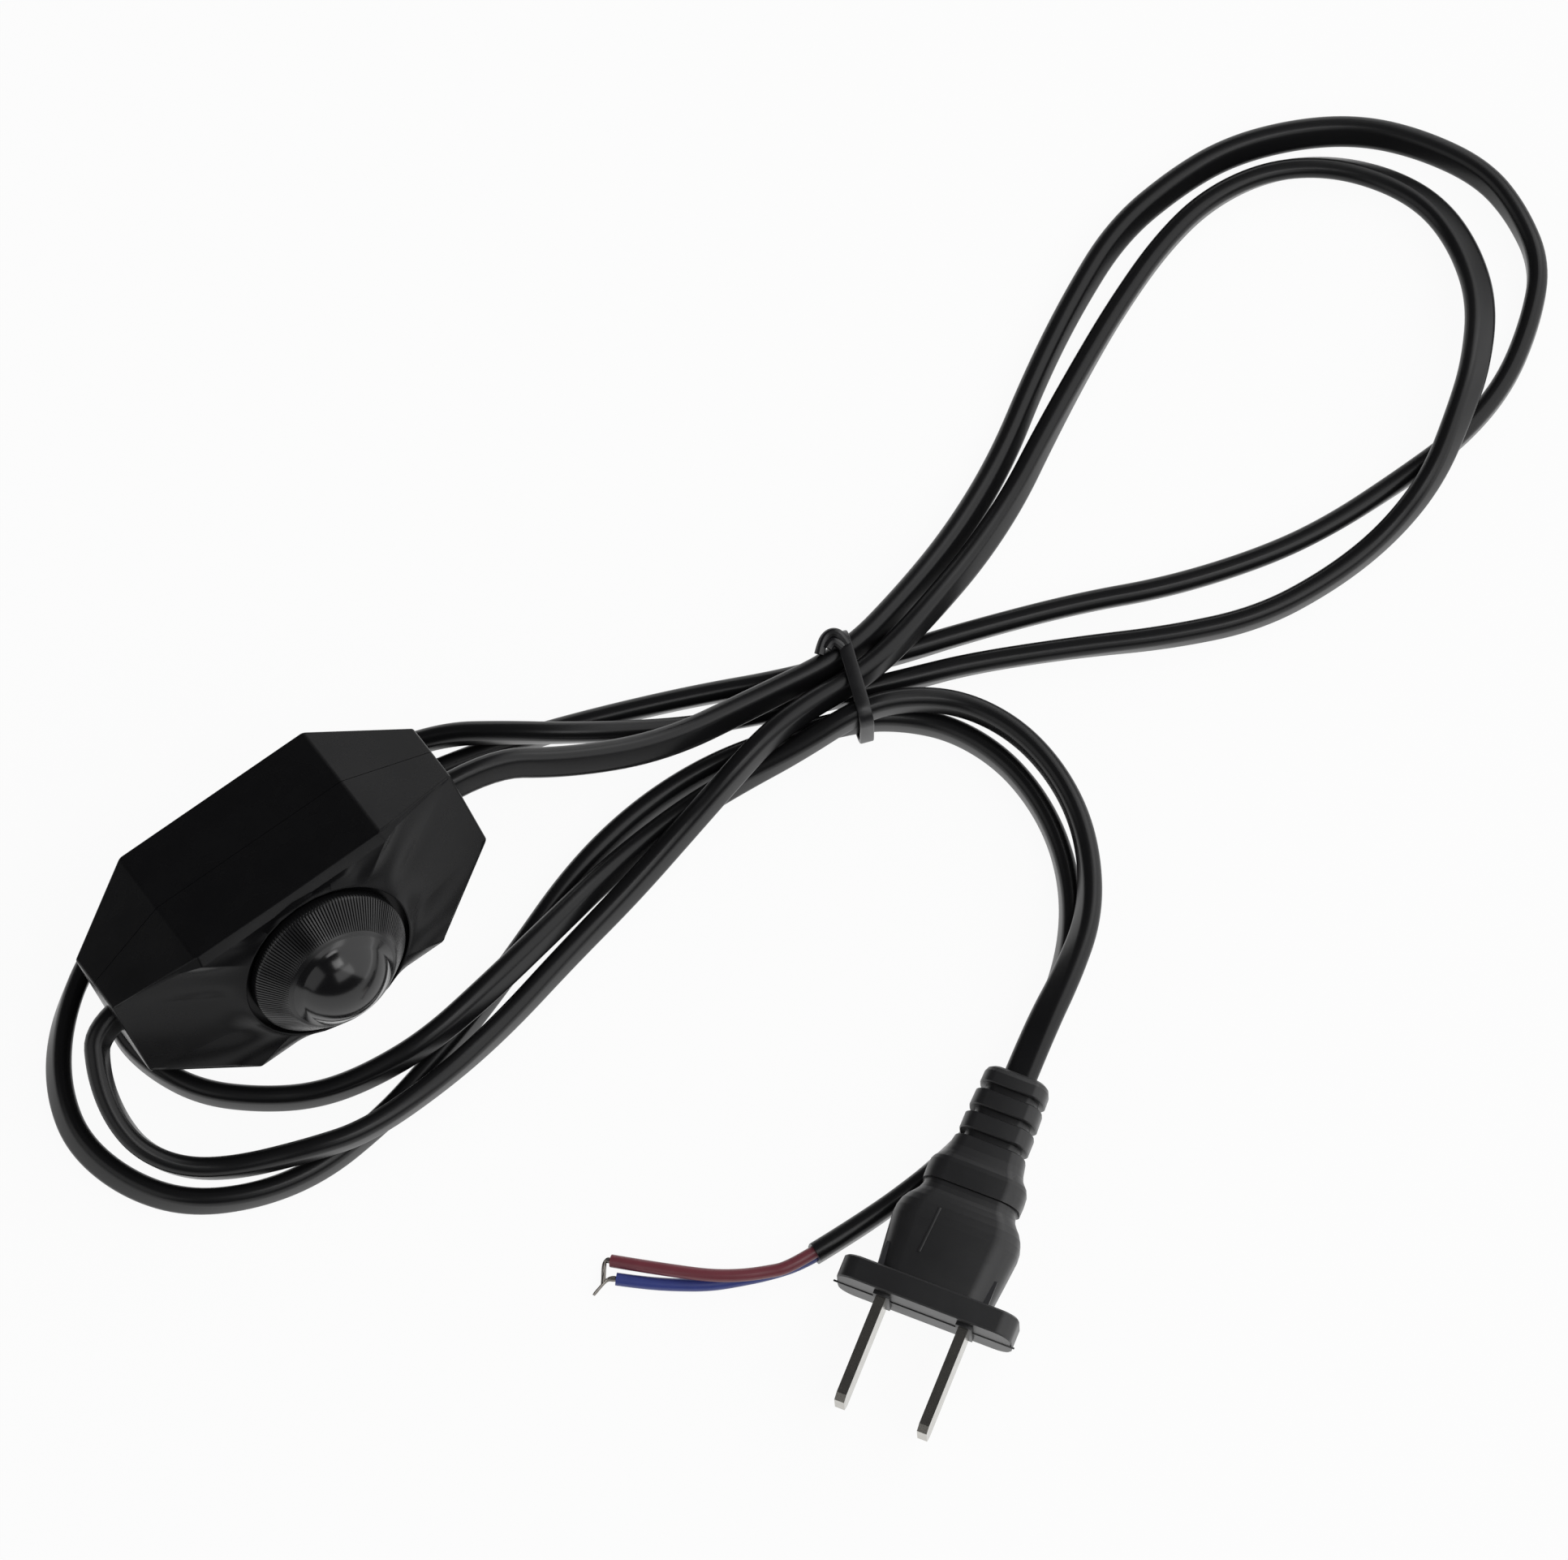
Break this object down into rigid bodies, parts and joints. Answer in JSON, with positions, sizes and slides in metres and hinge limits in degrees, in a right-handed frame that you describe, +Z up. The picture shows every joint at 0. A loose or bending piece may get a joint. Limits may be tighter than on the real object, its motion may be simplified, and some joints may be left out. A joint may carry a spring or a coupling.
{
  "type": "inline lamp dimmer cord",
  "caption": "Inline rotary lamp dimmer on a flat cord, with a moulded flat-blade plug on the supply end and bare stripped cores on the lamp end, the cord tied in a loose hank.",
  "frame": {"origin": "on the floor under the middle of the dimmer, which lies on its long side", "axes": "+X along the dimmer towards its supply end, +Z up"},
  "size_m": [0.259, 0.1421, 0.0384],
  "materials": {
    "casing": "satin black moulded ABS",
    "knob": "knurled ring with a polished dome",
    "cord_black": "semi-gloss black PVC",
    "plug_black": "satin black moulded PVC",
    "plug_bridge": "moulded",
    "brown_pvc": "semi-gloss",
    "blue_pvc": "semi-gloss",
    "tie_black": "semi-gloss",
    "copper": "bare strands",
    "plated_brass": "nickel plated",
    "steel": "zinc plated",
    "board": "bonded paper laminate",
    "aluminium": "mill",
    "black_resin": "moulded",
    "ferrite": "matte",
    "film_red": "dipped",
    "pot_shell": "plated"
  },
  "bodies": {
    "base": {"upper_casing": "casing", "lower_casing": "casing", "case_screws": "steel", "pot_bushing": "plated_brass", "bushing_washer": "steel", "bushing_nut": "steel", "pot_housing": "pot_shell", "switch_housing": "black_resin", "circuit_board": "board", "pot_terminals": "plated_brass", "heat_plate": "aluminium", "triac_tab": "steel", "triac_body": "black_resin", "triac_legs": "plated_brass", "choke_core": "ferrite", "choke_winding": "copper", "film_capacitor": "film_red", "timing_capacitor": "film_red", "resistors": "board", "diac": "blue_pvc", "thermal_fuse": "aluminium", "supply_clamp": "steel", "supply_clamp_screws": "steel", "output_clamp": "steel", "output_clamp_screws": "steel", "supply_cord": "cord_black", "output_cord": "cord_black", "brown_core": "brown_pvc", "blue_core": "blue_pvc", "copper_tips": "copper", "supply_leads": "brown_pvc", "output_leads": "blue_pvc", "plug_body": "plug_black", "plug_bridge": "plug_bridge", "blade_left": "plated_brass", "blade_right": "plated_brass", "plug_crimps": "plated_brass", "plug_cores": "brown_pvc", "cord_tie": "tie_black"},
    "knob": {"dimmer_knob": "knob", "pot_shaft": "plug_bridge"}
  },
  "joints": [
    {"name": "knob_turn", "type": "hinge", "parent": "base", "child": "knob", "pos_m": [0, 0.00285, 0.01921], "axis": [-0.0439, -0.9107, 0.4108], "range_deg": [-300, 0]}
  ]
}
